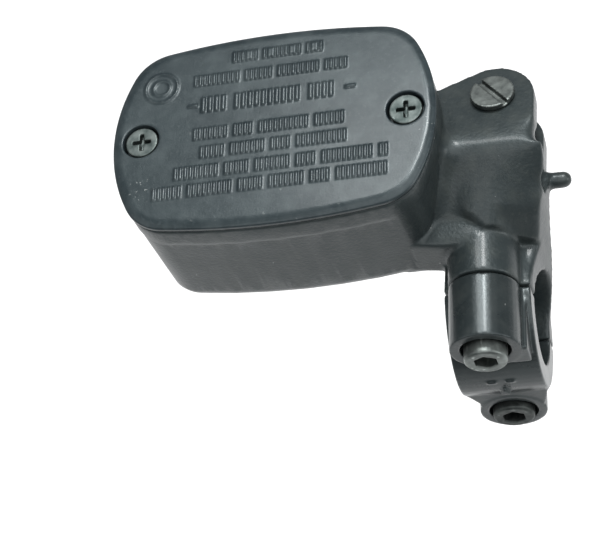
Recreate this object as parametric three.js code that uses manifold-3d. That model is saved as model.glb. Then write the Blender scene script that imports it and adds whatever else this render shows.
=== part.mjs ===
// Motorcycle front brake master cylinder: fluid reservoir, cylinder, lever ears and handlebar clamp.
// Millimetres, +Z up. The origin is the centre of the handlebar bore at the middle of the clamp,
// +X runs along the bar towards its end, and +Y points forward, away from the rider.
import * as THREE from 'three';
import * as BufferGeometryUtils from 'three/addons/utils/BufferGeometryUtils.js';
import Module from 'manifold-3d';

const wasm = await Module();
wasm.setup();

// --- Driving dimensions ------------------------------------------------------------------
const GAP = 0.3; // clearance between pieces that touch
const BEYOND = 2; // how far a cutter runs past the face it opens

// Handlebar clamp
const BAR_R = 11.1;
const CLAMP_HALF_WIDTH = 10;
const CLAMP_R = 16.5;
const SPLIT = 0.25; // each half stops this far from the bar's centre plane
const CLAMP_BOLT = { shankR: 2.9, holeR: 3.2, headR: 5, headLength: 6, socketR: 2.9, socketDepth: 3 };
const UPPER_BOSS = { x: -0.5, z: 17, r: 8.25, face: -16, head: -19, recessFloor: -12.7, reach: 11.5 };
const LOWER_BOSS = { x: 0, z: -17, r: 8, face: -15.2, head: -16.8, recessFloor: -10.5, reach: 10 };
const BOSS_RECESS_R = 5.8;
const BOLT_TIP = 8.5;
const BOLT_HOLE_END = 10;

// Reservoir and cover: a rectangle with four bowed sides and round corners
const RESERVOIR = { x: -43.4, y: 31.5, halfLength: 38.15, halfWidth: 25.65 };
const BOW = { endR: 40, sideR: 180, cornerR: 11 };
const COVER_TOP = 47.3;
const COVER_BOTTOM = 45.1;
const COVER_EDGE = 0.7;
const RIM_TOP = 44.6;
const RIM_BOTTOM = 39;
const RIM_INSET = 0.2;
const WALL_INSET = 0.5;
const BOTTOM_INSET = 1;
const BOTTOM_Z = 11.2;
const BOTTOM_EDGE = 2.4;
const WALL_CORNER_R = 9;
const SEAT = { inset: 2, z: 42 }; // ledge inside the rim that the diaphragm's flange rests on
const WALL = 2.6;
const FLOOR_Z = 14;
const COVER_SCREW = { spacing: 62.4, postR: 4.5, holeR: 2.15, shankR: 1.9, clearR: 2.4, holeBottom: 35.6 };
const SET_PLATE = { bottom: 43.2, top: 44.4 };
const SCREW_HEAD = { r: 4, recessR: 4.4, seatR: 5.1, top: 46.8, height: 2.3, tip: 36 };

// Cylinder, along X
const BARREL = { y: 27.5, z: 26.2, outerR: 9.2, boreR: 6.35, mouth: -7.5, end: -68.6 };
const MOUTH_BORE = { r: 7.2, bottom: -11.8, relief: -2.5, grooveR: 7.75, groove: [-10.4, -9] };
const HOSE_PORT = { face: -77.3, faceR: 8, holeR: 4.6, holeEnd: -71.5, passageR: 1.6 };
const FLUID_PORTS = [{ x: -39, r: 1.4 }, { x: -49, r: 0.8 }];

// Lever ears, in a frame turned about X so that its v axis lies in the lever's plane
const LEVER_TILT = THREE.MathUtils.degToRad(13.7);
const EAR = { top: 42.2, bottom: 22.9, tipR: 9.8, reach: 9.5, lowerTipR: 9.4, rear: 15.5 };
const SLOT = { top: 37, floor: 28.2, back: 12.6, shoulder: [17.5, 32.5] };
const EAR_FLANK = THREE.MathUtils.degToRad(24.4);
const PIVOT = {
  x: 5.45, v: 31.7, shoulderR: 4, sunk: 1, headR: 5.15, headHeight: 1.7, threadR: 3, nutR: 5.77,
};

// Arm between the clamp and the ears
const ARM = { half: CLAMP_HALF_WIDTH - 0.15, ridge: 25.7, plateStart: 11 };
const FLARE = { out: 6.2, start: 2, end: 25 };
const PEG = { y: 24.4, z: 20.3, r: 1.95, base: 13, tip: 21.1, rootR: 3.1, rootEnd: 16.4 };

// --- Materials ---------------------------------------------------------------------------
const finish = (color, roughness, metalness) =>
  new THREE.MeshStandardMaterial({ color, roughness, metalness });
const PAINT = finish(0x3a4144, 0.42, 0.3);
const COVER_PAINT = finish(0x434c4e, 0.4, 0.3);
const STEEL = finish(0x6d7478, 0.35, 0.9);
const DARK_STEEL = finish(0x454a4a, 0.4, 0.8);
const ALLOY = finish(0x9aa0a2, 0.35, 0.9);
const RUBBER = finish(0x17181a, 0.85, 0);
const PLASTIC = finish(0xcfc9b8, 0.6, 0);

// --- Solids ------------------------------------------------------------------------------
// A closed three.js geometry as a solid for cutting and joining.
function solid(geometry) {
  const bare = geometry.clone();
  bare.deleteAttribute('normal');
  bare.deleteAttribute('uv');
  const merged = BufferGeometryUtils.mergeVertices(bare, 1e-4);
  const triVerts = new Uint32Array(merged.index.array);
  const vertProperties = new Float32Array(merged.attributes.position.array);
  return new wasm.Manifold(new wasm.Mesh({ numProp: 3, vertProperties, triVerts }));
}

function geometryOf(shape) {
  const { vertProperties, triVerts } = shape.getMesh();
  const geometry = new THREE.BufferGeometry();
  geometry.setAttribute('position', new THREE.BufferAttribute(vertProperties, 3));
  geometry.setIndex(new THREE.BufferAttribute(triVerts, 1));
  geometry.computeVertexNormals();
  return geometry;
}

const join = (shapes) => shapes.reduce((all, next) => all.add(next));
const cut = (shape, cutters) => cutters.reduce((left, cutter) => left.subtract(cutter), shape);

function block([x0, y0, z0], [x1, y1, z1]) {
  const geometry = new THREE.BoxGeometry(x1 - x0, y1 - y0, z1 - z0);
  return solid(geometry.translate((x0 + x1) / 2, (y0 + y1) / 2, (z0 + z1) / 2));
}

// A round bar along X, Y or Z, between two stations, with its axis at the two other coordinates.
function rod(axis, from, to, [p, q], r, sides = 32) {
  const geometry = new THREE.CylinderGeometry(r, r, Math.abs(to - from), sides);
  const middle = (from + to) / 2;
  if (axis === 'x') geometry.rotateZ(Math.PI / 2).translate(middle, p, q);
  if (axis === 'y') geometry.translate(p, middle, q);
  if (axis === 'z') geometry.rotateX(Math.PI / 2).translate(p, q, middle);
  return solid(geometry);
}

// A turned piece on the cylinder's axis: profile points are [distance along X, radius].
function turned(profile, sides = 32) {
  const points = profile.map(([x, r]) => new THREE.Vector2(r, x));
  const geometry = new THREE.LatheGeometry(points, sides);
  geometry.rotateZ(-Math.PI / 2).translate(0, BARREL.y, BARREL.z);
  return solid(geometry);
}

// An outline of [a, b] points swept between two stations along Z.
function prism(outline, from, to) {
  const shape = new THREE.Shape(outline.map(([a, b]) => new THREE.Vector2(a, b)));
  const geometry = new THREE.ExtrudeGeometry(shape, { depth: to - from, bevelEnabled: false });
  return solid(geometry.translate(0, 0, from));
}

// An outline of [y, z] points swept between two stations along X.
function prismAlongX(outline, from, to) {
  const shape = new THREE.Shape(outline.map(([y, z]) => new THREE.Vector2(y, z)));
  const geometry = new THREE.ExtrudeGeometry(shape, { depth: to - from, bevelEnabled: false });
  const turn = new THREE.Matrix4().makeBasis(
    new THREE.Vector3(0, 1, 0), new THREE.Vector3(0, 0, 1), new THREE.Vector3(1, 0, 0));
  return solid(geometry.applyMatrix4(turn).translate(from, 0, 0));
}

// A skin through rings of [x, y, z] points, all of one length, closed at both ends.
function loft(rings) {
  const count = rings[0].length;
  const positions = rings.flat(2);
  const index = [];
  for (let ring = 0; ring < rings.length - 1; ring += 1) {
    for (let i = 0; i < count; i += 1) {
      const a = ring * count + i;
      const b = ring * count + (i + 1) % count;
      index.push(a, b, b + count, a, b + count, a + count);
    }
  }
  [rings[0], rings[rings.length - 1]].forEach((ring, end) => {
    const centre = positions.length / 3;
    const start = end === 0 ? 0 : (rings.length - 1) * count;
    for (let axis = 0; axis < 3; axis += 1) {
      positions.push(ring.reduce((sum, point) => sum + point[axis], 0) / count);
    }
    for (let i = 0; i < count; i += 1) {
      const next = start + (i + 1) % count;
      index.push(...(end === 0 ? [centre, next, start + i] : [centre, start + i, next]));
    }
  });
  const geometry = new THREE.BufferGeometry();
  geometry.setAttribute('position', new THREE.Float32BufferAttribute(positions, 3));
  geometry.setIndex(index);
  return solid(geometry);
}

// Points in the lever's frame, [x, v, w], turned into the part's frame.
const leverFrame = new THREE.Matrix4().makeRotationX(-LEVER_TILT);
function tilted(shape) {
  return solid(geometryOf(shape).applyMatrix4(leverFrame));
}

// --- Reservoir outline -------------------------------------------------------------------
// The bowed rectangle, shrunk evenly by inset: two end arcs, two side arcs and four corner arcs.
function bowedOutline(inset, cornerR = BOW.cornerR, cornerSteps = 5, sideSteps = 3) {
  const a = RESERVOIR.halfLength - inset;
  const b = RESERVOIR.halfWidth - inset;
  const endR = BOW.endR - inset;
  const sideR = BOW.sideR - inset;
  const r = Math.max(cornerR - inset, 1);
  const endX = a - endR;
  const sideY = b - sideR;
  const span = Math.hypot(endX, sideY);
  const p = endR - r;
  const q = sideR - r;
  const along = (p * p - q * q + span * span) / (2 * span);
  const off = Math.sqrt(p * p - along * along);
  const [ux, uy] = [-endX / span, sideY / span];
  const cx = endX + ux * along - uy * off;
  const cy = uy * along + ux * off;
  const startAngle = Math.atan2(cy, cx - endX);
  const endAngle = Math.atan2(cy - sideY, cx);
  const quarter = [];
  for (let i = 0; i < sideSteps; i += 1) {
    const t = startAngle * i / sideSteps;
    quarter.push([endX + endR * Math.cos(t), endR * Math.sin(t)]);
  }
  for (let i = 0; i < cornerSteps; i += 1) {
    const t = THREE.MathUtils.lerp(startAngle, endAngle, i / cornerSteps);
    quarter.push([cx + r * Math.cos(t), cy + r * Math.sin(t)]);
  }
  for (let i = 0; i <= sideSteps; i += 1) {
    const t = THREE.MathUtils.lerp(endAngle, Math.PI / 2, i / sideSteps);
    quarter.push([sideR * Math.cos(t), sideY + sideR * Math.sin(t)]);
  }
  const half = [...quarter, ...quarter.slice(0, -1).reverse().map(([x, y]) => [-x, y])];
  const ring = [...half, ...half.slice(1, -1).reverse().map(([x, y]) => [x, -y])];
  return ring.map(([x, y]) => [x + RESERVOIR.x, y + RESERVOIR.y]);
}

// Levels are [inset, z], and an optional corner radius.
const bowedRing = ([inset, z, cornerR]) => bowedOutline(inset, cornerR).map(([x, y]) => [x, y, z]);
const bowedLoft = (levels) => loft(levels.map(bowedRing));
const screwStations = [-1, 1].map((side) => RESERVOIR.x + side * COVER_SCREW.spacing / 2);

// --- Arm sections ------------------------------------------------------------------------
const armRight = (y) => ARM.half + FLARE.out * THREE.MathUtils.smoothstep(y, FLARE.start, FLARE.end);

// Lower edge of the arm, from under the bar up to the lower ear.
const armUnderside = new THREE.SplineCurve([
  new THREE.Vector2(0, -CLAMP_R + 0.3), new THREE.Vector2(5, -14.9), new THREE.Vector2(10, -10),
  new THREE.Vector2(14.6, 0), new THREE.Vector2(17.8, 10), new THREE.Vector2(21.5, 17),
  new THREE.Vector2(ARM.ridge, 18.8),
]);
const undersideStations = armUnderside.getPoints(14).map((point) => [point.x, point.y]);
function armBottom(y) {
  const next = undersideStations.findIndex(([station]) => station >= y);
  const [y1, z1] = undersideStations[Math.max(next, 1)];
  const [y0, z0] = undersideStations[Math.max(next, 1) - 1];
  return z0 + (z1 - z0) * (y - y0) / (y1 - y0);
}

// Top of the arm: a plate that runs up from over the boss to the ear. Its right side is turned
// down, most of all at the rear corner, and its left side falls away to the neck.
const PLATE = { rear: 26, front: 35.1, frontY: 24, ridgeZ: 37, cornerDrop: 0.352, bendX: 3 };
const PLATE_DIP = { depth: 3, from: 3.5, to: 8, end: 15 };
const PLATE_LEFT = { x: -2.6, rearX: 0.9, fall: 1.6 };
function plateTop(x, y) {
  if (y > PLATE.frontY) {
    return THREE.MathUtils.mapLinear(y, PLATE.frontY, ARM.ridge, PLATE.front, PLATE.ridgeZ);
  }
  const behind = y - ARM.plateStart;
  const flat = THREE.MathUtils.mapLinear(y, ARM.plateStart, PLATE.frontY, PLATE.rear, PLATE.front);
  const towardsRight = THREE.MathUtils.smoothstep(x, PLATE.bendX, armRight(y));
  const atRear = 1 - THREE.MathUtils.smoothstep(y, ARM.plateStart, PLATE_DIP.end);
  const dip = PLATE_DIP.depth * atRear * THREE.MathUtils.smoothstep(x, PLATE_DIP.from, PLATE_DIP.to);
  const leftEdge = Math.max(PLATE_LEFT.x, PLATE_LEFT.rearX - behind);
  const fall = PLATE_LEFT.fall * Math.max(0, leftEdge - x);
  return flat - PLATE.cornerDrop * (PLATE.frontY - y) * towardsRight - dip - fall;
}

function armRing(y, top) {
  const right = armRight(y);
  const left = -ARM.half;
  const steps = 20;
  const ring = [];
  for (let i = 0; i <= steps; i += 1) {
    const x = THREE.MathUtils.lerp(right + 0.5, left, i / steps);
    const edge = i === 0 ? 0.6 : 0;
    ring.push([x, y, top(x) - edge]);
  }
  ring.push([left, y, armBottom(y) + 2], [left + 2, y, armBottom(y)]);
  ring.push([right - 2, y, armBottom(y)], [right, y, armBottom(y) + 2]);
  return ring.reverse();
}

function makeArm() {
  const low = [1, 3, 6, 9, ARM.plateStart + 1].map((y) => armRing(y, () => CLAMP_R - 0.6));
  const high = [ARM.plateStart, 12, 13, 14, 15, 16.5, 18, 20, 22, PLATE.frontY, ARM.ridge]
    .map((y) => armRing(y, (x) => plateTop(x, y)));
  return join([loft(low), loft(high)]);
}

// --- Ears --------------------------------------------------------------------------------
// The tip is round in front of the pivot and reaches a little less far towards the bar's end.
function earOutline(tipR, reach) {
  const arc = [];
  const steps = 12;
  for (let i = 0; i <= steps; i += 1) {
    const t = THREE.MathUtils.lerp(0, Math.PI / 2 + EAR_FLANK, i / steps);
    const across = t < Math.PI / 2 ? reach : tipR;
    arc.push([PIVOT.x + across * Math.cos(t), PIVOT.v + tipR * Math.sin(t)]);
  }
  const [x, v] = arc[steps];
  const left = BARREL.mouth - WALL;
  const flankEnd = [left, v - (x - left) * Math.tan(EAR_FLANK)];
  return [[left, EAR.rear], [PIVOT.x + reach, EAR.rear], ...arc, flankEnd];
}

function makeEars() {
  const upper = prism(earOutline(EAR.tipR, EAR.reach), SLOT.top - 0.5, EAR.top);
  const lower = prism(earOutline(EAR.lowerTipR, EAR.lowerTipR), EAR.bottom, SLOT.floor + 0.5);
  return tilted(join([upper, lower]));
}

// The slot that takes the lever's knuckle, open to the front and outboard.
function leverSlot() {
  const outline = [
    [SLOT.back, SLOT.floor], [PIVOT.v + 4 * EAR.tipR, SLOT.floor],
    [PIVOT.v + 4 * EAR.tipR, SLOT.top], [SLOT.shoulder[0], SLOT.top], [SLOT.back, SLOT.shoulder[1]],
  ];
  return tilted(prismAlongX(outline, BARREL.mouth, PIVOT.x + 3 * EAR.tipR));
}

const pivotRod = (from, to, r, sides = 32) => tilted(rod('z', from, to, [PIVOT.x, PIVOT.v], r, sides));

// --- Body --------------------------------------------------------------------------------
function reservoirShell() {
  const outside = bowedLoft([
    [BOTTOM_INSET + BOTTOM_EDGE, BOTTOM_Z, WALL_CORNER_R],
    [BOTTOM_INSET + 0.3 * BOTTOM_EDGE, BOTTOM_Z + 0.4 * BOTTOM_EDGE, WALL_CORNER_R],
    [BOTTOM_INSET, BOTTOM_Z + 1.3 * BOTTOM_EDGE, WALL_CORNER_R],
    [WALL_INSET, RIM_BOTTOM - 0.5, WALL_CORNER_R],
    [RIM_INSET, RIM_BOTTOM], [RIM_INSET, RIM_TOP],
  ]);
  const chamber = bowedLoft([[BOTTOM_INSET + WALL, FLOOR_Z], [RIM_INSET + WALL + 1.4, SEAT.z + BEYOND]]);
  const seat = bowedLoft([[SEAT.inset, SEAT.z], [SEAT.inset, RIM_TOP + BEYOND]]);
  const far = 60;
  const low = [RESERVOIR.x - far, -far, 0];
  const hump = join([
    block(low, [RESERVOIR.x + far, BARREL.y, BARREL.z + BARREL.outerR]),
    block(low, [RESERVOIR.x + far, BARREL.y + BARREL.outerR, BARREL.z]),
    rod('x', RESERVOIR.x - far, RESERVOIR.x + far, [BARREL.y, BARREL.z], BARREL.outerR),
  ]);
  const posts = screwStations.map((x) => rod('z', BOTTOM_Z, SEAT.z, [x, RESERVOIR.y], COVER_SCREW.postR, 20));
  const insidePosts = join(posts).intersect(outside);
  return { outside, hollow: join([cut(chamber, [hump, insidePosts]), seat]) };
}

// Neck between the reservoir's rear corner and the arm: [y, z] around its section. A shelf level
// with the top of the boss lies behind the slope.
const NECK = [
  [7.6, 24], [8.1, 25], [9.4, 25.4], [13.4, 25.7], [16, 27.9], [21.5, 31.9], [25, 35.6], [26.5, 36.7],
  [26.5, 11.4], [9.2, 11.4], [7.6, 13],
];
const NECK_STATIONS = [[UPPER_BOSS.x, 0], [-9, 0], [-19.5, 1.5]]; // [x, how far its rear draws in]
function makeNeck() {
  return loft(NECK_STATIONS.map(([x, drawn]) =>
    NECK.map(([y, z]) => [x, Math.max(y, NECK[0][0] + drawn), z])));
}

// Rib beside the upper boss, and the shield-shaped web that carries the lower boss: [x, z] points.
const RIB = [[4, -15.9, 9.5], [8.8, 12, 16.3]];
const WEB = [
  [-9.6, -5], [-9.4, -8], [-8.4, -9.8], [-7.4, -12], [-6.9, -17],
  [6.2, -19], [8.4, -13], [9.7, -7], [9.7, -5],
];
const WEB_REACH = [6, -14.9];

function clampHalf(side) {
  const keep = side < 0 ? block([-60, -60, -60], [60, -SPLIT, 60]) : block([-60, SPLIT, -60], [60, 60, 60]);
  const band = rod('x', -CLAMP_HALF_WIDTH, CLAMP_HALF_WIDTH, [0, 0], CLAMP_R, 56);
  const bosses = [UPPER_BOSS, LOWER_BOSS].map((boss) =>
    rod('y', boss.face, boss.reach, [boss.x, boss.z], boss.r, 36));
  const web = loft(WEB_REACH.map((y) => WEB.map(([x, z]) => [x, y, z])));
  return join([band, ...bosses, block(...RIB), web]).intersect(keep);
}

const barBore = () => rod('x', -40, 40, [0, 0], BAR_R, 56);

function cylinderHollow() {
  const { y, z, boreR, mouth, end } = BARREL;
  const axis = [y, z];
  return [
    rod('x', end, mouth + BEYOND, axis, boreR, 32),
    rod('x', MOUTH_BORE.bottom, MOUTH_BORE.relief, axis, MOUTH_BORE.r, 32),
    rod('x', MOUTH_BORE.groove[0], MOUTH_BORE.groove[1], axis, MOUTH_BORE.grooveR, 32),
    rod('x', HOSE_PORT.face - 10, HOSE_PORT.face, axis, HOSE_PORT.faceR),
    rod('x', HOSE_PORT.face - 1, HOSE_PORT.holeEnd, axis, HOSE_PORT.holeR, 24),
    rod('x', HOSE_PORT.holeEnd - 1, end + 1, axis, HOSE_PORT.passageR, 16),
    ...FLUID_PORTS.map((port) => rod('z', z, z + BARREL.outerR + 1, [port.x, y], port.r, 12)),
  ];
}

function makePeg() {
  const axis = [PEG.y, PEG.z];
  const shank = rod('x', PEG.base, PEG.tip - PEG.r, axis, PEG.r, 20);
  const tip = solid(new THREE.SphereGeometry(PEG.r, 20, 10).translate(PEG.tip - PEG.r, PEG.y, PEG.z));
  const root = new THREE.CylinderGeometry(PEG.rootR, PEG.r, PEG.rootEnd - PEG.base, 20);
  root.rotateZ(Math.PI / 2).translate((PEG.base + PEG.rootEnd) / 2, PEG.y, PEG.z);
  return join([shank, tip, solid(root)]);
}

function makeBody() {
  const { outside, hollow } = reservoirShell();
  const mass = join([outside, makeArm(), makeEars(), clampHalf(1), makeNeck(), makePeg()]);
  const screwHoles = screwStations.map((x) =>
    rod('z', COVER_SCREW.holeBottom, SEAT.z + BEYOND, [x, RESERVOIR.y], COVER_SCREW.holeR, 16));
  const boltHoles = [UPPER_BOSS, LOWER_BOSS].map((boss) =>
    rod('y', 0, BOLT_HOLE_END, [boss.x, boss.z], CLAMP_BOLT.holeR, 24));
  const pivotHoles = [
    pivotRod(SLOT.top - 1, EAR.top + 1, PIVOT.shoulderR + 0.1),
    pivotRod(EAR.bottom - 1, SLOT.floor + 1, PIVOT.threadR + 0.2, 24),
    pivotRod(SLOT.floor - PIVOT.sunk, SLOT.floor + 1, PIVOT.shoulderR + 0.1),
  ];
  return cut(mass, [
    hollow, barBore(), leverSlot(), ...cylinderHollow(), ...screwHoles, ...boltHoles, ...pivotHoles,
  ]);
}

function makeHolder() {
  const holes = [UPPER_BOSS, LOWER_BOSS].flatMap((boss) => [
    rod('y', boss.face - 1, 0, [boss.x, boss.z], CLAMP_BOLT.holeR, 24),
    rod('y', boss.face - 1, boss.recessFloor, [boss.x, boss.z], BOSS_RECESS_R, 32),
  ]);
  return cut(clampHalf(-1), [barBore(), ...holes]);
}

// --- Cover, diaphragm and screws ---------------------------------------------------------
// Everything under the cover that drops into the rim with a small clearance all round.
const withinSeat = (from, to) => bowedLoft([[SEAT.inset + GAP, from], [SEAT.inset + GAP, to]]);

function makeCover() {
  const outside = bowedLoft([
    [0.3, COVER_BOTTOM], [0, COVER_BOTTOM + 0.3], [0, COVER_TOP - COVER_EDGE],
    [0.3 * COVER_EDGE, COVER_TOP - 0.3 * COVER_EDGE], [COVER_EDGE, COVER_TOP],
  ]);
  const plug = withinSeat(SET_PLATE.top + GAP, COVER_BOTTOM + 1);
  const seats = screwStations.map((x) =>
    rod('z', SET_PLATE.bottom + GAP, COVER_TOP - 1, [x, RESERVOIR.y], SCREW_HEAD.seatR, 32)
      .intersect(withinSeat(SET_PLATE.bottom, COVER_TOP)));
  const headFloor = SCREW_HEAD.top - SCREW_HEAD.height - GAP;
  const holes = screwStations.flatMap((x) => [
    rod('z', SET_PLATE.bottom, COVER_TOP + 1, [x, RESERVOIR.y], COVER_SCREW.clearR, 20),
    rod('z', headFloor, COVER_TOP + 1, [x, RESERVOIR.y], SCREW_HEAD.recessR, 32),
  ]);
  return cut(join([outside, plug, ...seats]), holes);
}

const DIAPHRAGM = { bottom: SEAT.z + 0.2, top: 43, dishInset: 6.5, dishBottom: 38.2, wall: 1 };
function makeDiaphragm() {
  const { bottom, top, dishInset, dishBottom, wall } = DIAPHRAGM;
  const outside = join([
    withinSeat(bottom, top),
    bowedLoft([[dishInset + 1, dishBottom], [dishInset, top]]),
  ]);
  const dish = bowedLoft([[dishInset + 1 + wall, dishBottom + wall], [dishInset + wall, top + 1]]);
  const pads = screwStations.map((x) =>
    rod('z', bottom, top, [x, RESERVOIR.y], COVER_SCREW.postR + 1, 24)
      .intersect(withinSeat(bottom - 1, top + 1)));
  const clearance = screwStations.map((x) =>
    rod('z', 0, bottom, [x, RESERVOIR.y], COVER_SCREW.postR + GAP, 24));
  const holes = screwStations.map((x) => rod('z', 0, COVER_TOP, [x, RESERVOIR.y], COVER_SCREW.clearR, 20));
  return cut(join([cut(outside, [dish]), ...pads]), [...holes, ...clearance]);
}

function makeSetPlate() {
  const plate = withinSeat(SET_PLATE.bottom, SET_PLATE.top);
  const notches = screwStations.map((x) =>
    rod('z', 0, COVER_TOP, [x, RESERVOIR.y], SCREW_HEAD.seatR + GAP, 24));
  const opening = bowedLoft([[16, 0], [16, COVER_TOP]]);
  return cut(plate, [...notches, opening]);
}

const PHILLIPS = { reach: 2.2, width: 0.9, depth: 1.5 };
function makeCoverScrew(x) {
  const { r, top, height, tip } = SCREW_HEAD;
  const profile = [
    [0, tip], [COVER_SCREW.shankR - 0.5, tip], [COVER_SCREW.shankR, tip + 0.5],
    [COVER_SCREW.shankR, top - height], [r, top - 0.5], [r - 0.25, top], [0, top],
  ];
  const geometry = new THREE.LatheGeometry(profile.map(([a, b]) => new THREE.Vector2(a, b)), 32);
  const screw = solid(geometry.rotateX(Math.PI / 2).translate(x, RESERVOIR.y, 0));
  const { reach, width, depth } = PHILLIPS;
  const arms = [[reach, width / 2], [width / 2, reach]].map(([a, b]) =>
    block([x - a, RESERVOIR.y - b, top - depth], [x + a, RESERVOIR.y + b, top + 1]));
  return cut(screw, arms);
}

// Stainless plate over the fluid ports, standing on two folded feet.
const BAFFLE = {
  x: -44, halfX: 11, halfY: 5, foot: BARREL.z + BARREL.outerR + GAP, footHeight: 0.8, thick: 0.5,
};
function makeBaffle() {
  const { x, halfX, halfY, foot, footHeight, thick } = BAFFLE;
  const deck = foot + footHeight;
  const y = BARREL.y - 2;
  const sheet = block([x - halfX, y - halfY, deck], [x + halfX, y + halfY, deck + thick]);
  const feet = [x - halfX, x + halfX].map((at) =>
    block([at - thick / 2, y - halfY, foot], [at + thick / 2, y + halfY, deck + thick]));
  return join([sheet, ...feet]);
}

// --- Clamp bolts -------------------------------------------------------------------------
function makeClampBolt(boss) {
  const { shankR, headR, headLength, socketR, socketDepth } = CLAMP_BOLT;
  const axis = [boss.x, boss.z];
  const underHead = boss.head + headLength;
  const head = rod('y', boss.head + 0.5, underHead, axis, headR, 32);
  const crown = new THREE.CylinderGeometry(headR, headR - 0.5, 0.5, 32);
  crown.translate(boss.x, boss.head + 0.25, boss.z);
  const shank = rod('y', underHead - 1, BOLT_TIP, axis, shankR, 24);
  const socket = rod('y', boss.head - 1, boss.head + socketDepth, axis, socketR, 6);
  return cut(join([head, solid(crown), shank]), [socket]);
}

// --- Lever pivot -------------------------------------------------------------------------
const PIVOT_TIP = 17.2;
const NUT_HEIGHT = 4.4;
function makePivotBolt() {
  const headFloor = EAR.top + GAP;
  const headTop = EAR.top + PIVOT.headHeight;
  const head = pivotRod(headFloor, headTop, PIVOT.headR);
  const shoulder = pivotRod(SLOT.floor - PIVOT.sunk + GAP, headFloor + 0.5, PIVOT.shoulderR);
  const thread = pivotRod(PIVOT_TIP, SLOT.floor + 1, PIVOT.threadR, 24);
  const slotHalfWidth = 0.7;
  const slotDepth = 1;
  const slotAngle = THREE.MathUtils.degToRad(-52);
  const slot = new THREE.BoxGeometry(3 * PIVOT.headR, 2 * slotHalfWidth, 2 * slotDepth);
  slot.rotateZ(slotAngle).translate(PIVOT.x, PIVOT.v, headTop).applyMatrix4(leverFrame);
  return cut(join([head, shoulder, thread]), [solid(slot)]);
}

function makePivotNut() {
  const top = EAR.bottom - GAP;
  const hex = pivotRod(top - NUT_HEIGHT, top, PIVOT.nutR, 6);
  return cut(hex, [pivotRod(top - 2 * NUT_HEIGHT, top + 1, PIVOT.threadR + GAP, 24)]);
}

// --- Inside the cylinder -----------------------------------------------------------------
const LAND_R = 6.28;
const PISTON = {
  front: -46, cupSeat: -42, rearLand: -19.5, shoulder: -11.9, tip: 4.5, waistR: 4.2, noseR: 3.5,
};
const REAR_GROOVE = [-17.2, -14.2];
function makePiston() {
  const { front, cupSeat, rearLand, shoulder, tip, waistR, noseR } = PISTON;
  const [grooveFrom, grooveTo] = REAR_GROOVE;
  const profile = [
    [front, 0], [front, 2.6], [cupSeat, 2.6], [cupSeat, LAND_R], [cupSeat + 2, LAND_R],
    [cupSeat + 2, waistR], [rearLand, waistR], [rearLand, LAND_R],
    [grooveFrom, LAND_R], [grooveFrom, waistR], [grooveTo, waistR], [grooveTo, LAND_R],
    [shoulder, LAND_R], [shoulder, noseR], [tip - noseR, noseR],
  ];
  const domeSteps = 5;
  for (let i = 1; i <= domeSteps; i += 1) {
    const t = Math.PI / 2 * i / domeSteps;
    profile.push([tip - noseR + noseR * Math.sin(t), i === domeSteps ? 0 : noseR * Math.cos(t)]);
  }
  return turned(profile);
}

// A lip seal: flat heel at the back and two lips that open towards the fluid.
function makeCup(heel, lip, innerR) {
  const valley = heel - 1;
  const at = (share) => THREE.MathUtils.lerp(innerR, LAND_R, share);
  return turned([
    [heel, innerR], [lip, innerR], [lip, at(0.22)], [valley, at(0.4)],
    [valley, at(0.6)], [lip, at(0.74)], [lip, LAND_R], [heel, at(0.88)], [heel, innerR],
  ]);
}

const SPRING = { from: -68.1, to: -46.5, r: 4.6, wireR: 0.6, turns: 7.5, stepsPerTurn: 12, sides: 6 };
class Helix extends THREE.Curve {
  getPoint(t) {
    const angle = 2 * Math.PI * SPRING.turns * t;
    const x = THREE.MathUtils.lerp(SPRING.from + SPRING.wireR, SPRING.to - SPRING.wireR, t);
    const y = BARREL.y + SPRING.r * Math.cos(angle);
    return new THREE.Vector3(x, y, BARREL.z + SPRING.r * Math.sin(angle));
  }
}

function makeSpring() {
  const wire = new THREE.Shape();
  for (let i = 0; i < SPRING.sides; i += 1) {
    const t = 2 * Math.PI * i / SPRING.sides;
    const step = i === 0 ? 'moveTo' : 'lineTo';
    wire[step](SPRING.wireR * Math.cos(t), SPRING.wireR * Math.sin(t));
  }
  const steps = SPRING.turns * SPRING.stepsPerTurn;
  return solid(new THREE.ExtrudeGeometry(wire, { steps, bevelEnabled: false, extrudePath: new Helix() }));
}

function makeStopWasher() {
  const [from, to] = [PISTON.shoulder + GAP, -10.7];
  const outerR = MOUTH_BORE.r - GAP;
  return turned([[from, 3.9], [from, outerR], [to, outerR], [to, 3.9], [from, 3.9]]);
}

function makeCirclip() {
  const [from, to] = [-10.2, -9.2];
  const outerR = MOUTH_BORE.grooveR - 0.2;
  const ring = turned([[from, 5.9], [from, outerR], [to, outerR], [to, 5.9], [from, 5.9]]);
  const lugs = [-1, 1].map((side) =>
    rod('x', from, to, [BARREL.y + side * 2.4, BARREL.z - 5.4], 1.2, 16));
  const mouthGap = block([from - 1, BARREL.y - 1.2, BARREL.z - 12], [to + 1, BARREL.y + 1.2, BARREL.z]);
  return join([cut(ring, [mouthGap]), ...lugs]);
}

function makeBoot() {
  return turned([
    [-8.9, 5.3], [-8.9, 6.9], [-7, 6.9], [-6.6, 6.3], [-5.2, 5.9], [-4.6, 4.9], [-3.4, 4.6], [-3, 3.8],
    [-4.6, 3.8], [-5.4, 4.2], [-6, 4.9], [-7.4, 5.2], [-8.9, 5.3],
  ], 28);
}

// --- Assembly ----------------------------------------------------------------------------
const group = new THREE.Group();
function place(name, shape, material) {
  const mesh = new THREE.Mesh(geometryOf(shape), material);
  mesh.name = name;
  group.add(mesh);
}

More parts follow.
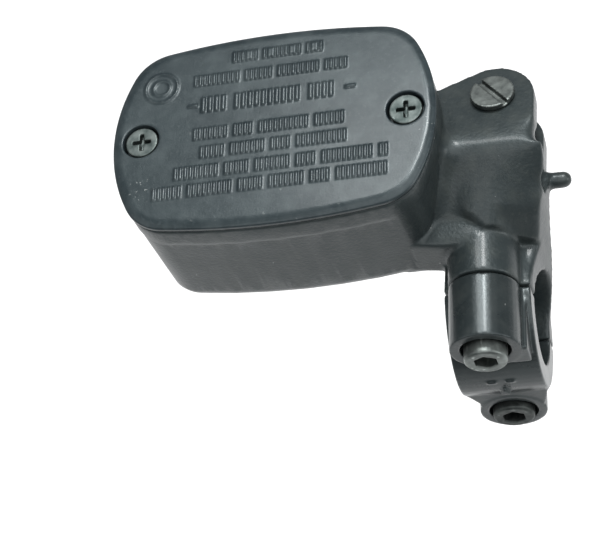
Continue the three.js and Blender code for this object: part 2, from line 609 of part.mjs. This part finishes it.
place('master_cylinder_body', makeBody(), PAINT);
place('clamp_holder', makeHolder(), PAINT);
place('reservoir_cover', makeCover(), COVER_PAINT);
place('diaphragm', makeDiaphragm(), RUBBER);
place('diaphragm_set_plate', makeSetPlate(), PLASTIC);
place('port_baffle_plate', makeBaffle(), STEEL);
place('cover_screw_inboard', makeCoverScrew(screwStations[0]), STEEL);
place('cover_screw_outboard', makeCoverScrew(screwStations[1]), STEEL);
place('clamp_bolt_upper', makeClampBolt(UPPER_BOSS), DARK_STEEL);
place('clamp_bolt_lower', makeClampBolt(LOWER_BOSS), DARK_STEEL);
place('lever_pivot_bolt', makePivotBolt(), DARK_STEEL);
place('lever_pivot_nut', makePivotNut(), STEEL);
place('piston', makePiston(), ALLOY);
place('primary_cup', makeCup(-42.3, -45.2, 3), RUBBER);
place('secondary_cup', makeCup(-14.5, -16.9, 4.5), RUBBER);
place('return_spring', makeSpring(), STEEL);
place('stop_washer', makeStopWasher(), STEEL);
place('circlip', makeCirclip(), DARK_STEEL);
place('dust_boot', makeBoot(), RUBBER);

export default group;
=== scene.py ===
"""Brake master cylinder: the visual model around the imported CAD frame, in metres."""
import math

import bmesh
import bpy
import numpy as np
from mathutils import Matrix, Vector


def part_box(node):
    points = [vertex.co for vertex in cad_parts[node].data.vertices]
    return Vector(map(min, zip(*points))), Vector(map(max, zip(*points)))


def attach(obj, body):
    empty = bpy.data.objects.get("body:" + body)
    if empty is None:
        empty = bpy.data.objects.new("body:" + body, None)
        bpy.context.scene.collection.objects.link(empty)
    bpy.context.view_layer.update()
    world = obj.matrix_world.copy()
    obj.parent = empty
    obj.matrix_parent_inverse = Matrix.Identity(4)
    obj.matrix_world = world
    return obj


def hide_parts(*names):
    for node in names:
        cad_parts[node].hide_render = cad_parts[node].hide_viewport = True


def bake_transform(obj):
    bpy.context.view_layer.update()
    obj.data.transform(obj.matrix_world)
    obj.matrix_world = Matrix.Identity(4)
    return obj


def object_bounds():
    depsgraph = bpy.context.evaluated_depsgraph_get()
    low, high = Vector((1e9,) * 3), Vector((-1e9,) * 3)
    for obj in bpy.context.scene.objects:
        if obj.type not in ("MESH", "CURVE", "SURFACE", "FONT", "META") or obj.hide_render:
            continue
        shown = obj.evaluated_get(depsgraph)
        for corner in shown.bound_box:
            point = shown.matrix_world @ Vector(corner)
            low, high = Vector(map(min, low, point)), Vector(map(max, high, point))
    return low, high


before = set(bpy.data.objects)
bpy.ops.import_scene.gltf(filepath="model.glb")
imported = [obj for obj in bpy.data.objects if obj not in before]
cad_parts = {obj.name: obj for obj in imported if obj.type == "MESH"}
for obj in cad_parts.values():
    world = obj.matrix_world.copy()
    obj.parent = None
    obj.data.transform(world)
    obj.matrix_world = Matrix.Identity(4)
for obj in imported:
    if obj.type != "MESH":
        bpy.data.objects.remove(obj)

CAD_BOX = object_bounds()
MM = 0.001

# --- Camera, light and floor ---------------------------------------------------------------
scene = bpy.context.scene

# The camera looks down on the cover from the rider's side, a little outboard.
CAMERA_AT = Vector((76.61, -240.82, 452.13)) * MM
CAMERA_RIGHT = Vector((0.9664, 0.0207, -0.2562))
CAMERA_UP = Vector((0.1067, 0.8745, 0.4732))
CAMERA_BACK = Vector((0.2339, -0.4846, 0.8429))
SENSOR_WIDTH = 36  # mm, as a full-frame camera's
FOCAL_LENGTH = 132.13  # mm
NEAREST_SEEN = 0.01  # metres

FLOOR_DROP = 150 * MM  # the part hangs this far above the floor, and its shadow is out of the picture
FLOOR_HALF_SIDE = 3  # metres
SKY_TINT = (0.96, 0.98, 1, 1)
SKY_STRENGTH = 0.3
LIGHTS = (
    # (name, place, what it points at, (width, height), power in watts), in metres
    ("overhead", (0.3, -0.1, 0.9), (0, 0, 0), (1.1, 0.9), 7),
    ("streak", (0.1, 0.33, 0.6), (0, 0, 0), (0.09, 0.16), 2.7),
    ("corner", (-0.09, 0.335, 0.6), (-0.02, 0.02, 0), (0.18, 0.16), 1.3),
    ("soft_left", (-0.7, -0.2, 0.6), (-0.04, 0.03, 0), (0.6, 0.6), 1.4),
    ("soft_front", (-0.2, -0.6, 0.7), (0, 0.02, 0), (0.35, 0.35), 1),
    ("soft_right", (0.7, -0.1, 0.25), (0, 0.02, 0), (0.4, 0.4), 2),
)


def add_camera():
    data = bpy.data.cameras.new("camera")
    data.sensor_width = SENSOR_WIDTH
    data.lens = FOCAL_LENGTH
    data.clip_start = NEAREST_SEEN
    camera = bpy.data.objects.new("camera", data)
    turn = Matrix((CAMERA_RIGHT, CAMERA_UP, CAMERA_BACK)).transposed().to_4x4()
    camera.matrix_world = Matrix.Translation(CAMERA_AT) @ turn
    scene.collection.objects.link(camera)
    scene.camera = camera


def add_area_light(name, at, target, size, power):
    """A soft box of size (width, height) that stands at a point and faces target."""
    data = bpy.data.lights.new(name, "AREA")
    data.shape = "RECTANGLE"
    data.size, data.size_y = size
    data.energy = power
    light = bpy.data.objects.new(name, data)
    at = Vector(at)
    aim = (Vector(target) - at).to_track_quat("-Z", "Y")
    light.matrix_world = Matrix.Translation(at) @ aim.to_matrix().to_4x4()
    scene.collection.objects.link(light)


def add_floor(z):
    builder = bmesh.new()
    bmesh.ops.create_grid(builder, x_segments=4, y_segments=4, size=FLOOR_HALF_SIDE)
    bmesh.ops.translate(builder, verts=builder.verts, vec=(0, 0, z))
    floor = object_from(builder, "floor")
    floor.data.materials.append(plain_floor())


def add_world():
    world = bpy.data.worlds.new("studio")
    scene.world = world
    world.use_nodes = True
    background = world.node_tree.nodes["Background"]
    background.inputs["Color"].default_value = SKY_TINT
    background.inputs["Strength"].default_value = SKY_STRENGTH


# --- Materials -----------------------------------------------------------------------------
class Shader:
    """A Principled material whose colour, roughness and bump come from procedural nodes."""

    def __init__(self, name, **values):
        self.material = bpy.data.materials.new(name)
        self.material.use_nodes = True
        self.tree = self.material.node_tree
        self.surface = self.tree.nodes["Principled BSDF"]
        for socket, value in values.items():
            self.surface.inputs[socket.replace("_", " ")].default_value = value
        self.place = self.node("ShaderNodeTexCoord").outputs["Object"]

    def node(self, kind, **settings):
        made = self.tree.nodes.new(kind)
        for key, value in settings.items():
            setattr(made, key, value)
        return made

    def link(self, source, target):
        self.tree.links.new(source, target)

    def noise(self, size_mm, detail=3, stretch=(1, 1, 1)):
        """Noise whose features are about size_mm across, drawn out along an axis by stretch."""
        mapping = self.node("ShaderNodeMapping")
        mapping.inputs["Scale"].default_value = [1 / s for s in stretch]
        self.link(self.place, mapping.inputs["Vector"])
        noise = self.node("ShaderNodeTexNoise")
        noise.inputs["Scale"].default_value = 1 / (size_mm * MM)
        noise.inputs["Detail"].default_value = detail
        self.link(mapping.outputs["Vector"], noise.inputs["Vector"])
        return noise.outputs["Fac"]

    def ramp(self, source, stops):
        """source through a colour ramp: stops are (position, grey or colour)."""
        ramp = self.node("ShaderNodeValToRGB")
        elements = ramp.color_ramp.elements
        while len(elements) < len(stops):
            elements.new(0.5)
        for element, (position, value) in zip(elements, stops):
            element.position = position
            element.color = (*value, 1) if isinstance(value, tuple) else (value, value, value, 1)
        self.link(source, ramp.inputs["Fac"])
        return ramp.outputs["Color"]

    def mix(self, factor, a, b):
        """a where factor is 0 and b where it is 1; each is a socket or a colour."""
        mix = self.node("ShaderNodeMix", data_type="RGBA")
        self.link(factor, mix.inputs["Factor"])
        for value, socket in ((a, mix.inputs["A"]), (b, mix.inputs["B"])):
            if isinstance(value, tuple):
                socket.default_value = (*value, 1)
            else:
                self.link(value, socket)
        return mix.outputs["Result"]

    def math(self, operation, a, b):
        node = self.node("ShaderNodeMath", operation=operation)
        for value, socket in ((a, node.inputs[0]), (b, node.inputs[1])):
            if isinstance(value, (int, float)):
                socket.default_value = value
            else:
                self.link(value, socket)
        return node.outputs["Value"]

    def edges(self, low, high):
        """1 on worn outer edges, 0 on flats."""
        pointiness = self.node("ShaderNodeNewGeometry").outputs["Pointiness"]
        return self.ramp(pointiness, [(low, 0.0), (high, 1.0)])

    def near(self, point_mm, radius_mm):
        """1 within about radius_mm of a point, fading to 0 at twice that."""
        distance = self.node("ShaderNodeVectorMath", operation="DISTANCE")
        self.link(self.place, distance.inputs[0])
        distance.inputs[1].default_value = [c * MM for c in point_mm]
        share = self.math("MULTIPLY", distance.outputs["Value"], 0.5 / (radius_mm * MM))
        return self.ramp(share, [(0.5, 1.0), (1.0, 0.0)])

    def colour(self, source):
        self.link(source, self.surface.inputs["Base Color"])

    def roughness(self, source, low, high):
        span = self.node("ShaderNodeMapRange")
        span.inputs["To Min"].default_value = low
        span.inputs["To Max"].default_value = high
        self.link(source, span.inputs["Value"])
        self.link(span.outputs["Result"], self.surface.inputs["Roughness"])

    def bump(self, heights):
        """heights is [(socket, depth in mm), ...], laid over one another."""
        normal = None
        for source, depth_mm in heights:
            bump = self.node("ShaderNodeBump")
            bump.inputs["Strength"].default_value = 1
            bump.inputs["Distance"].default_value = depth_mm * MM
            self.link(source, bump.inputs["Height"])
            if normal:
                self.link(normal, bump.inputs["Normal"])
            normal = bump.outputs["Normal"]
        self.link(normal, self.surface.inputs["Normal"])


def satin_paint(name, dark, light, dust, rough, grain, coat=0.15, wear=0.2, scraped=()):
    """Satin black paint on cast aluminium, dusty in patches and rubbed on its edges.

    grain is (size, depth) of the casting's texture in mm; wear is how bright the rubbed edges are;
    scraped is the (point, radius) of each place where flecks of paint are gone, in mm.
    """
    paint = Shader(name, Specular_IOR_Level=0.32, Specular_Tint=(0.86, 0.98, 1, 1),
                   Coat_Weight=coat, Coat_Roughness=0.16)
    blotches = paint.ramp(paint.noise(14, 4), [(0.35, 0.0), (0.68, 1.0)])
    speckle = paint.ramp(paint.noise(1.1, 6), [(0.54, 0.0), (0.78, 1.0)])
    drips = paint.ramp(paint.noise(3.5, 3, stretch=(1, 1, 9)), [(0.45, 0.0), (0.7, 1.0)])
    base = paint.mix(blotches, dark, light)
    film = paint.math("MAXIMUM", paint.math("MULTIPLY", speckle, 0.4), paint.math("MULTIPLY", drips, 0.3))
    dusty = paint.mix(film, base, dust)
    chips = paint.ramp(paint.noise(1.6, 6), [(0.5, 0.0), (0.58, 1.0)])
    rubbed = paint.math("MULTIPLY", paint.math("MULTIPLY", paint.edges(0.6, 0.8), chips), wear)
    nicks = paint.ramp(paint.noise(2.4, 8), [(0.735, 0.0), (0.75, 0.5)])
    bare = paint.math("MAXIMUM", rubbed, nicks)
    for point, radius in scraped:
        flecks = paint.ramp(paint.noise(0.8, 8), [(0.62, 0.0), (0.66, 0.8)])
        bare = paint.math("MAXIMUM", bare, paint.math("MULTIPLY", flecks, paint.near(point, radius)))
    paint.colour(paint.mix(bare, dusty, BARE_CAST))
    paint.roughness(paint.noise(6, 4), rough - 0.06, rough + 0.09)
    size, depth = grain
    scuffs = paint.noise(0.6, 2, stretch=(18, 1.6, 3))
    paint.bump([(paint.noise(size, 5), depth), (paint.noise(5, 2), 0.05), (scuffs, 0.004)])
    return paint.material


def machined_metal(name, dark, light, rough, stretch=(1, 1, 1)):
    """Plated or blackened steel and bare alloy, with fine turning marks and grime."""
    metal = Shader(name, Metallic=1.0)
    patina = metal.ramp(metal.noise(2.5, 5), [(0.35, 0.0), (0.65, 1.0)])
    shade = metal.mix(patina, dark, light)
    rub = metal.math("MULTIPLY", metal.edges(0.53, 0.62), 0.6)
    metal.colour(metal.mix(rub, shade, tuple(min(1, 2.2 * c) for c in light)))
    metal.roughness(metal.noise(1.5, 4), rough - 0.08, rough + 0.12)
    metal.bump([(metal.noise(0.35, 3, stretch), 0.012), (metal.noise(1.8, 3), 0.02)])
    return metal.material


def soft_plastic(name, dark, light, rough, grain_mm):
    """Moulded rubber or nylon with a faint surface grain."""
    soft = Shader(name)
    soft.colour(soft.mix(soft.ramp(soft.noise(4, 4), [(0.35, 0.0), (0.65, 1.0)]), dark, light))
    soft.roughness(soft.noise(2, 3), rough - 0.1, rough + 0.08)
    soft.bump([(soft.noise(grain_mm, 3), 0.02)])
    return soft.material


def plain_floor():
    floor = Shader("floor_paper", Specular_IOR_Level=0.2)
    floor.colour(floor.mix(floor.noise(40, 3), (0.9, 0.9, 0.9), (0.93, 0.93, 0.93)))
    floor.roughness(floor.noise(8, 3), 0.75, 0.85)
    return floor.material


BARE_CAST = (0.22, 0.235, 0.23)  # aluminium that shows where the paint is gone
BODY_PAINT = satin_paint(
    "body_paint", (0.013, 0.018, 0.019), (0.021, 0.027, 0.028), (0.05, 0.056, 0.051), 0.4, (0.8, 0.09))
HOLDER_PAINT = satin_paint(
    "holder_paint", (0.012, 0.016, 0.017), (0.018, 0.023, 0.024), (0.04, 0.045, 0.043), 0.27, (0.9, 0.03),
    coat=0.1)
# The worn places on the cover, as (point, radius) in mm.
SCRAPES = (((-8.2, 28.5, 47.3), 2.4), ((-74, 18, 47.3), 2))
COVER_PAINT = satin_paint(
    "cover_paint", (0.01, 0.016, 0.019), (0.019, 0.027, 0.03), (0.06, 0.074, 0.077), 0.33, (0.5, 0.03),
    wear=0.7, scraped=SCRAPES)
ZINC_STEEL = machined_metal("zinc_steel", (0.15, 0.18, 0.175), (0.27, 0.31, 0.3), 0.46)
BLACK_STEEL = machined_metal("black_steel", (0.1, 0.112, 0.108), (0.19, 0.21, 0.2), 0.42)
DULL_ZINC = machined_metal("dull_zinc", (0.045, 0.058, 0.056), (0.125, 0.145, 0.14), 0.5)
# Painted shade: a much darker copy of the black steel for the lower clamp bolt, which sits in shade below
# the bar.
SHADED_BLACK_STEEL = machined_metal("shaded_black_steel", (0.022, 0.026, 0.026), (0.07, 0.078, 0.075), 0.5)
PISTON_ALLOY = machined_metal(
    "piston_alloy", (0.42, 0.44, 0.45), (0.55, 0.57, 0.58), 0.3, stretch=(1, 20, 20))
RUBBER = soft_plastic("rubber", (0.01, 0.011, 0.012), (0.02, 0.021, 0.022), 0.7, 0.6)
NYLON = soft_plastic("nylon", (0.5, 0.46, 0.36), (0.6, 0.56, 0.46), 0.5, 0.8)


# --- Meshes --------------------------------------------------------------------------------
WELD_DISTANCE = 0.001 * MM
KEPT_SHARE = 0.4  # of the fine mesh's triangles, once it is smooth
EVEN_ROUNDING = 0.5  # each point's share of the rounding on a piece that is rounded alike all over
MELT_ROUNDS = 300  # of the deep rounding, which takes an edge away altogether


def object_from(builder, name):
    """An object in the scene from a bmesh, which is used up."""
    mesh = bpy.data.meshes.new(name)
    builder.to_mesh(mesh)
    builder.free()
    made = bpy.data.objects.new(name, mesh)
    scene.collection.objects.link(made)
    return made


def copy_of(node):
    """A CAD node's mesh in a bmesh, with its split corners welded."""
    builder = bmesh.new()
    builder.from_mesh(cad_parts[node].data)
    bmesh.ops.remove_doubles(builder, verts=builder.verts, dist=WELD_DISTANCE)
    return builder


def bake_modifiers(piece):
    """Gives the piece the mesh that its modifiers make, and takes the modifiers off."""
    graph = bpy.context.evaluated_depsgraph_get()
    mesh = bpy.data.meshes.new_from_object(piece.evaluated_get(graph))
    piece.modifiers.clear()
    old = piece.data
    piece.data = mesh
    bpy.data.meshes.remove(old)


def relax(points, edges, rounds, weight):
    """Moves each point towards its neighbours' mean, by its own weight, rounds times."""
    moving = weight > 0
    a, b = edges[moving[edges].any(1)].T
    count = len(points)
    degree = np.maximum(np.bincount(a, minlength=count) + np.bincount(b, minlength=count), 1)
    for _ in range(rounds):
        for axis in range(3):
            values = points[:, axis]
            total = np.bincount(a, values[b], count) + np.bincount(b, values[a], count)
            values += weight * (total / degree - values)


def soften(name, node, slot, material, voxel, rounds, weight=None, extras=None, reshape=None, melt=None):
    """A smooth piece from a CAD node: remeshed finely, its edges and corners rounded as on a casting.

    voxel, in mm, is how fine the remesh is, and rounds how often its points are relaxed. weight
    gives each point's share of that rounding, extras adds raised details before the remesh, melt
    gives the share of a deeper rounding, and reshape moves the points, in mm, afterwards.
    """
    builder = copy_of(node)
    if extras:
        extras(builder)
    piece = object_from(builder, name)
    remesh = piece.modifiers.new("remesh", "REMESH")
    remesh.mode = "VOXEL"
    remesh.voxel_size = voxel * MM
    bake_modifiers(piece)
    mesh = piece.data
    points = np.empty(len(mesh.vertices) * 3)
    mesh.vertices.foreach_get("co", points)
    points = points.reshape(-1, 3) / MM
    edges = np.empty(len(mesh.edges) * 2, int)
    mesh.edges.foreach_get("vertices", edges)
    edges = edges.reshape(-1, 2)
    if melt:
        relax(points, edges, MELT_ROUNDS, melt(points))
    share = weight(points) if weight else np.full(len(points), EVEN_ROUNDING)
    relax(points, edges, rounds, share)
    if reshape:
        reshape(points)
    mesh.vertices.foreach_set("co", (points * MM).ravel())
    mesh.update()
    thin = piece.modifiers.new("thin", "DECIMATE")
    thin.ratio = KEPT_SHARE
    bake_modifiers(piece)
    piece.data.shade_smooth()
    piece.data.materials.clear()
    piece.data.materials.append(material)
    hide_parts(node)
    return piece


def smoothstep(value, low, high):
    """0 below low, 1 above high, and a smooth rise between them."""
    t = np.clip((value - low) / (high - low), 0, 1)
    return t * t * (3 - 2 * t)


def band(value, rise, fall):
    """1 between a rise and a fall, each given as the (low, high) of its smooth step."""
    return smoothstep(value, *rise) * (1 - smoothstep(value, *fall))


# --- The reservoir's bowed outline ---------------------------------------------------------
COVER_LOW, COVER_HIGH = (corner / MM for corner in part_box("reservoir_cover"))
CENTRE = (COVER_LOW + COVER_HIGH) / 2
HALF_LENGTH = (COVER_HIGH.x - COVER_LOW.x) / 2
HALF_WIDTH = (COVER_HIGH.y - COVER_LOW.y) / 2
END_R = 40  # radius of the bowed short ends
SIDE_R = 180  # radius of the bowed long sides
WALL_CORNER_R = 9
COVER_CORNER_R = 11


def outline_distance(x, y, corner_r):
    """Signed distance in mm from the bowed rectangle, and the outward direction.

    The corners are arcs of corner_r that touch an end arc and a side arc.
    """
    px, py = np.abs(x - CENTRE.x), np.abs(y - CENTRE.y)
    end_x, side_y = HALF_LENGTH - END_R, HALF_WIDTH - SIDE_R
    span = math.hypot(end_x, side_y)
    p, q = END_R - corner_r, SIDE_R - corner_r
    along = (p * p - q * q + span * span) / (2 * span)
    off = math.sqrt(p * p - along * along)
    ux, uy = -end_x / span, side_y / span
    cx, cy = end_x + ux * along - uy * off, uy * along + ux * off
    first = math.atan2(cy, cx - end_x)
    last = math.atan2(cy - side_y, cx)
    on_end = np.arctan2(py, px - end_x) < first
    on_side = np.arctan2(py - side_y, px) > last
    mx = np.where(on_end, end_x, np.where(on_side, 0, cx))
    my = np.where(on_end, 0, np.where(on_side, side_y, cy))
    radius = np.where(on_end, END_R, np.where(on_side, SIDE_R, corner_r))
    reach = np.hypot(px - mx, py - my)
    outward_x = (px - mx) / reach * np.sign(x - CENTRE.x)
    outward_y = (py - my) / reach * np.sign(y - CENTRE.y)
    return reach - radius, np.stack([outward_x, outward_y], 1)


def snap_to_outline(points, inset, corner_r, reach, where):
    """Draws the points near the bowed wall onto its true arcs."""
    distance, outward = outline_distance(points[:, 0], points[:, 1], corner_r)
    gap = distance + inset
    near = where & (np.abs(gap) < reach)
    points[near, :2] -= outward[near] * gap[near, None]


# --- Pieces --------------------------------------------------------------------------------
# How much each point is moved by a round of rounding: 0 keeps an edge sharp.
BODY_ROUNDING = 0.33
BODY_BORE_ROUNDING = 0.12
MACHINED_ROUNDING = 0.15
HOLDER_ROUNDING = 0.3
HOLDER_BORE_ROUNDING = 0.08
COVER_ROUNDING = 0.2

# Where they apply, in mm: the bar's bore, the reservoir's rim and the lip over the upper boss.
BAR_BORE_ZONE_R = 12
RIM_Z = 43.5
LIP_HALF_LENGTH = 12
LIP_Y = (8.5, 15.5)
LIP_Z = 19

# The reservoir's wall and the collar above it, in mm: the heights they span, how far they lie
# inside the cover's outline, and how near to its true place a point must be to be moved there.
WALL_SPAN = (14.5, 38.4)
WALL_INSETS = ((14.3, 38.5), (1.0, 0.5))  # heights, and the inset at each
WALL_REACH = 0.25
COLLAR_SPAN = (39.5, 44)
COLLAR_INSET = 0.2
COLLAR_REACH = 0.2

# The deep rounding of the crease below the upper ear and of the neck: its share, and where it
# applies in mm, as the smooth steps that it rises and falls by. Neither reaches the reservoir's
# wall, which OFF_WALL is the distance from, or its rim, which is above BELOW_RIM.
RIDGE_MELT = 0.5
RIDGE_X = ((-15, -11), (13, 16.5))
RIDGE_Y = ((15, 19), (29, 33))
RIDGE_Z = (26, 30)
NECK_MELT = 0.25
NECK_X = ((-19, -16), (1, 4))
NECK_Y = ((14, 17), (27, 30))
NECK_Z = (20, 23)
BELOW_RIM = (38.5, 40)
OFF_WALL = (-1.4, 0.3)


def body_rounding(points):
    """Every cast corner is rounded a little, and the rim, the lip and the bar bore less."""
    x, y, z = points.T
    share = np.full(len(points), BODY_ROUNDING)
    share[np.hypot(y, z) < BAR_BORE_ZONE_R] = BODY_BORE_ROUNDING
    share[z > RIM_Z] = MACHINED_ROUNDING
    lip = (np.abs(x) < LIP_HALF_LENGTH) & (y > LIP_Y[0]) & (y < LIP_Y[1]) & (z > LIP_Z)
    share[lip] = MACHINED_ROUNDING
    return share


def arm_melt(points):
    """The plate flows into the ears and the neck, outside the reservoir's wall and below its rim."""
    x, y, z = points.T
    distance, _ = outline_distance(x, y, WALL_CORNER_R)
    outside = smoothstep(distance, *OFF_WALL) * (1 - smoothstep(z, *BELOW_RIM))
    ridge = RIDGE_MELT * band(y, *RIDGE_Y) * smoothstep(z, *RIDGE_Z) * band(x, *RIDGE_X)
    neck = NECK_MELT * band(x, *NECK_X) * band(y, *NECK_Y) * smoothstep(z, *NECK_Z)
    return np.maximum(ridge, neck) * outside


def true_walls(points):
    """Puts the reservoir's walls, and the collar under the cover, back on their arcs."""
    z = points[:, 2]
    on_wall = (z > WALL_SPAN[0]) & (z < WALL_SPAN[1])
    snap_to_outline(points, np.interp(z, *WALL_INSETS), WALL_CORNER_R, WALL_REACH, on_wall)
    on_collar = (z > COLLAR_SPAN[0]) & (z < COLLAR_SPAN[1])
    snap_to_outline(points, COLLAR_INSET, COVER_CORNER_R, COLLAR_REACH, on_collar)


def box_into(builder, low, high):
    """Adds a block between two corners in mm, which the remesh then joins to what it touches."""
    made = bmesh.ops.create_cube(builder, size=1)["verts"]
    low, high = Vector(low), Vector(high)
    bmesh.ops.scale(builder, verts=made, vec=(high - low) * MM)
    bmesh.ops.translate(builder, verts=made, vec=(low + high) / 2 * MM)


def ring_into(builder, centre, radius, thickness):
    """Adds a round wire ring that lies on the cover, half sunk into it, in mm."""
    turns, sides = 48, 8
    rings = []
    for i in range(turns):
        around = 2 * math.pi * i / turns
        ring = []
        for j in range(sides):
            t = 2 * math.pi * j / sides
            r = radius + thickness * math.cos(t)
            offset = Vector((r * math.cos(around), r * math.sin(around), thickness * math.sin(t)))
            ring.append(builder.verts.new((Vector(centre) + offset) * MM))
        rings.append(ring)
    for i in range(turns):
        for j in range(sides):
            a, b = rings[i], rings[(i + 1) % turns]
            builder.faces.new((a[j], b[j], b[(j + 1) % sides], a[(j + 1) % sides]))


# The raised marks on the cover, in mm.
RAISED = 0.44
MARK_FOOT = 0.4  # how far each mark reaches down into the cover
MARK_ROWS = (
    # (first x, last x, centre y, height) of each row
    (-71.0, -15.4, 16.4, 3.0), (-66.0, -15.6, 21.2, 3.0), (-60.0, -24.6, 26.3, 3.0),
    (-61.8, -24.8, 31.3, 3.0), (-60.2, -28.2, 39.2, 4.0), (-62.2, -25.8, 46.0, 2.8),
    (-53.0, -31.2, 51.4, 2.6),
)
RIB_WIDTH = 0.2  # of an upright rib, as a share of the row's height
RIB_PITCH = 0.4  # from one rib to the next, as a share of the row's height
GROUPS = (6, 9, 5, 7, 4, 10)  # ribs in each group, before a wider gap
DASHES_FROM_X = (-63.4, -26.0)
DASH_LENGTH = 2.2
DASH_Y = (38.9, 39.5)
RING_PLACE = (-70.2, 45.3)
RINGS = ((3.9, 0.32), (2.0, 0.3))  # (radius, thickness) of each


def raised_marks(builder):
    """Rows of plain upright ribs, two dashes and a double ring."""
    top = COVER_HIGH.z
    for row, (start, end, y, height) in enumerate(MARK_ROWS):
        x, group, ribs = start, row, 0
        while x < end:
            low = (x, y - height / 2, top - MARK_FOOT)
            box_into(builder, low, (x + RIB_WIDTH * height, y + height / 2, top + RAISED))
            ribs += 1
            x += RIB_PITCH * height
            if ribs == GROUPS[group % len(GROUPS)]:
                x += RIB_PITCH * height
                ribs = 0
                group += 1
    for x in DASHES_FROM_X:
        low = (x, DASH_Y[0], top - MARK_FOOT)
        box_into(builder, low, (x + DASH_LENGTH, DASH_Y[1], top + RAISED))
    for radius, thickness in RINGS:
        ring_into(builder, (*RING_PLACE, top), radius, thickness)


# The cover's rim, in mm: how much of the deep rounding it takes, and where.
RIM_MELT = 0.27
RIM_MELT_DISTANCE = (-2.6, -1.2)
RIM_MELT_Z = (44.9, 45.3)
WIDEST_Z = ((45.1, 45.7), (46.2, 47))
WIDEST_REACH = 0.8


def cover_rounding(points):
    """The marks on the cover's top keep their edges; its rim is rounded well over by cover_melt."""
    return np.full(len(points), COVER_ROUNDING)


def cover_melt(points):
    """The cover's upper rim, and nothing of its flat top, is rounded well over."""
    distance, _ = outline_distance(points[:, 0], points[:, 1], COVER_CORNER_R)
    return RIM_MELT * smoothstep(distance, *RIM_MELT_DISTANCE) * smoothstep(points[:, 2], *RIM_MELT_Z)


def true_cover_edge(points):
    """Puts the widest line of the rounded rim back on the outline."""
    distance, outward = outline_distance(points[:, 0], points[:, 1], COVER_CORNER_R)
    middle = band(points[:, 2], *WIDEST_Z)
    pull = np.where(np.abs(distance) < WIDEST_REACH, distance * middle, 0)
    points[:, :2] -= outward * pull[:, None]


# The raised marks on the holder, in mm: the arrowhead is built up of thin rows.
ARROW_ROWS = 7
ARROW_ROW_HEIGHT = 0.36
ARROW_BASE_Z = -3.4
ARROW_X = 0.5
ARROW_HALF_WIDTH = 1.4
ARROW_FRONT_Y = -17.45
PAD_FRONT_Y = -16.95
PADS_FROM_X = (-2.9, 1.4)
PAD_LENGTH = 1.9
PAD_Z = (1.4, 2.3)
HOLDER_MARK_FOOT_Y = -15


def holder_details(builder):
    """A raised arrowhead that points up between the two screws, and two plain pads above it."""
    for row in range(ARROW_ROWS):
        half = ARROW_HALF_WIDTH * (1 - (row + 0.5) / ARROW_ROWS)
        z = ARROW_BASE_Z + ARROW_ROW_HEIGHT * row
        low = (ARROW_X - half, ARROW_FRONT_Y, z)
        box_into(builder, low, (ARROW_X + half, HOLDER_MARK_FOOT_Y, z + ARROW_ROW_HEIGHT))
    for x in PADS_FROM_X:
        low = (x, PAD_FRONT_Y, PAD_Z[0])
        box_into(builder, low, (x + PAD_LENGTH, HOLDER_MARK_FOOT_Y, PAD_Z[1]))


def holder_rounding(points):
    """Every cast corner is rounded a little, and the bar bore hardly at all."""
    share = np.full(len(points), HOLDER_ROUNDING)
    share[np.hypot(points[:, 1], points[:, 2]) < BAR_BORE_ZONE_R] = HOLDER_BORE_ROUNDING
    return share


body = soften("body_casting", "master_cylinder_body", "cast_paint", BODY_PAINT, voxel=0.4, rounds=10,
              weight=body_rounding, melt=arm_melt, reshape=true_walls)
holder = soften("holder_casting", "clamp_holder", "cast_paint", HOLDER_PAINT, voxel=0.28, rounds=9,
                weight=holder_rounding, extras=holder_details)
cover = soften("cover_casting", "reservoir_cover", "cover_paint", COVER_PAINT, voxel=0.2, rounds=5,
               weight=cover_rounding, melt=cover_melt, extras=raised_marks, reshape=true_cover_edge)

SMALL_PIECES = (
    # (name, CAD node, slot, material, voxel mm, rounds)
    ("screw_head_inboard", "cover_screw_inboard", "zinc_steel", DULL_ZINC, 0.14, 3),
    ("screw_head_outboard", "cover_screw_outboard", "zinc_steel", DULL_ZINC, 0.14, 3),
    ("socket_bolt_upper", "clamp_bolt_upper", "black_steel", BLACK_STEEL, 0.18, 4),
    # The lower clamp bolt takes the darker steel copy, which is painted shade.
    ("socket_bolt_lower", "clamp_bolt_lower", "black_steel", SHADED_BLACK_STEEL, 0.18, 4),
    ("pivot_screw", "lever_pivot_bolt", "black_steel", BLACK_STEEL, 0.18, 4),
    ("pivot_hex_nut", "lever_pivot_nut", "zinc_steel", ZINC_STEEL, 0.16, 3),
    ("bellows_boot", "dust_boot", "rubber", RUBBER, 0.2, 3),
)
housing_pieces = [body, holder, cover]
housing_pieces += [soften(*row) for row in SMALL_PIECES]
for piece in housing_pieces:
    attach(piece, "housing")
plunger = soften("plunger", "piston", "piston_alloy", PISTON_ALLOY, voxel=0.25, rounds=3)
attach(plunger, "piston_set")

# The spring, softened like the other pieces and baked where it stands; its two end points are taken from
# its CAD box.
coil = soften("coil_spring", "return_spring", "zinc_steel", ZINC_STEEL, voxel=0.12, rounds=2)
coil_fixed, coil_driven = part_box("return_spring")
coil_driven.yz = coil_fixed.yz
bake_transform(coil)

# The hidden CAD nodes that are shown as they are, each with its material.
CARRIED = {
    "diaphragm": RUBBER,
    "diaphragm_set_plate": NYLON,
    "port_baffle_plate": ZINC_STEEL,
    "primary_cup": RUBBER,
    "secondary_cup": RUBBER,
    "stop_washer": ZINC_STEEL,
    "circlip": BLACK_STEEL,
}
for node, material in CARRIED.items():
    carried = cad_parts[node]
    carried.data.materials.clear()
    carried.data.materials.append(material)

add_camera()
scene.view_settings.view_transform = "Standard"
add_world()
add_floor(CAD_BOX[0].z - FLOOR_DROP)
for light in LIGHTS:
    add_area_light(*light)
